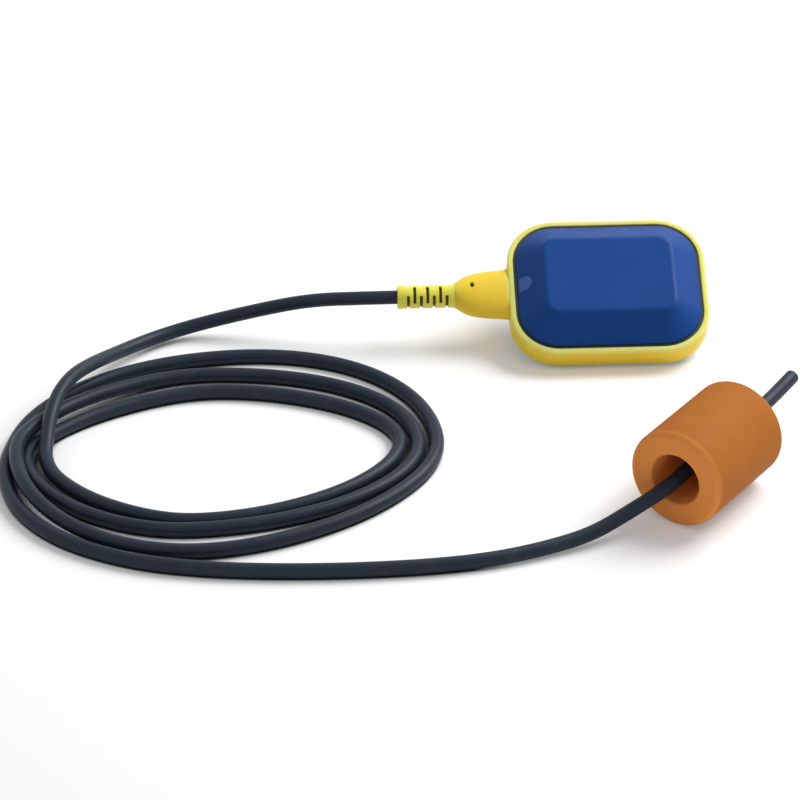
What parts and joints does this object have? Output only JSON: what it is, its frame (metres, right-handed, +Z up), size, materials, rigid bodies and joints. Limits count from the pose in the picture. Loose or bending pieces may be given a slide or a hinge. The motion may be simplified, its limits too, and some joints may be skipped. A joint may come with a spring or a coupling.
{
  "type": "cable float switch",
  "caption": "Level switch with a bevelled float in a yellow ring, a slotted strain relief, a coiled cable and a sliding cylindrical counterweight.",
  "frame": {"origin": "on the floor under the middle of the float with its neck and strain relief", "axes": "+X along the float away from its cable, +Y away from the counterweight, +Z up. The float is tipped 28.5 degrees about X on to its front edge"},
  "size_m": [0.3982, 0.2606, 0.0526],
  "materials": {
    "ring_plastic": "satin moulded, yellow",
    "boot_plastic": "satin moulded, bright yellow",
    "cover_plastic": "satin moulded, blue",
    "seal_rubber": "matt",
    "sheath_rubber": "soft sheen, blue black",
    "weight_plastic": "fine matt, orange brown",
    "grip_plastic": "matt, dark",
    "ballast_iron": "plain",
    "capsule_plastic": "matt, pale grey",
    "switch_plastic": "matt, black",
    "bright_steel": "bright",
    "terminal_brass": "bright",
    "core_blue": "satin",
    "core_brown": "satin",
    "core_black": "satin"
  },
  "bodies": {
    "float_switch": {"frame_ring": "ring_plastic", "upper_cover": "cover_plastic", "lower_cover": "cover_plastic", "upper_seal": "seal_rubber", "lower_seal": "seal_rubber", "cable_boot": "boot_plastic", "cable_inlet": "sheath_rubber", "gland_bush": "seal_rubber", "cable_clamp": "capsule_plastic", "clamp_screws": "bright_steel", "capsule_base": "capsule_plastic", "capsule_seal": "seal_rubber", "capsule_lid": "capsule_plastic", "capsule_screws": "bright_steel", "switch_case": "switch_plastic", "lever_pin": "bright_steel", "terminal_open": "terminal_brass", "terminal_common": "terminal_brass", "terminal_closed": "terminal_brass", "core_blue": "core_blue", "core_brown": "core_brown", "core_black": "core_black", "cable_lead": "sheath_rubber", "cable_coil": "sheath_rubber", "cable_tail": "sheath_rubber"},
    "ball": {"contact_ball": "bright_steel"},
    "lever": {"switch_lever": "bright_steel"},
    "plunger": {"switch_plunger": "switch_plastic"},
    "grip": {"cable_grip": "grip_plastic"},
    "weight": {"weight_shell": "weight_plastic", "weight_core": "weight_plastic", "weight_cap": "weight_plastic", "weight_ballast": "ballast_iron"}
  },
  "joints": [
    {"name": "ball_roll", "type": "slide", "parent": "float_switch", "child": "ball", "axis": [1, 0, 0], "range_m": [0, 0.009]},
    {"name": "lever_swing", "type": "hinge", "parent": "float_switch", "child": "lever", "pos_m": [0.01383, -0.00212, 0.03021], "axis": [0, -0.8788, -0.4772], "range_deg": [0, 3.75]},
    {"name": "plunger_press", "type": "slide", "parent": "float_switch", "child": "plunger", "axis": [0, -0.4772, 0.8788], "range_m": [0, 0.00041]},
    {"name": "weight_slide", "type": "slide", "parent": "float_switch", "child": "grip", "axis": [0.6157, 0.788, 0], "range_m": [0, 0.028]},
    {"name": "weight_spin", "type": "hinge", "parent": "grip", "child": "weight", "pos_m": [0.0616, -0.1575, 0.025], "axis": [0.6157, 0.788, 0], "continuous": true}
  ],
  "couplings": [
    {"joint": "lever_swing", "follows": "ball_roll", "rad_per_m": 7.2425},
    {"joint": "plunger_press", "follows": "ball_roll", "ratio": 0.0451}
  ]
}
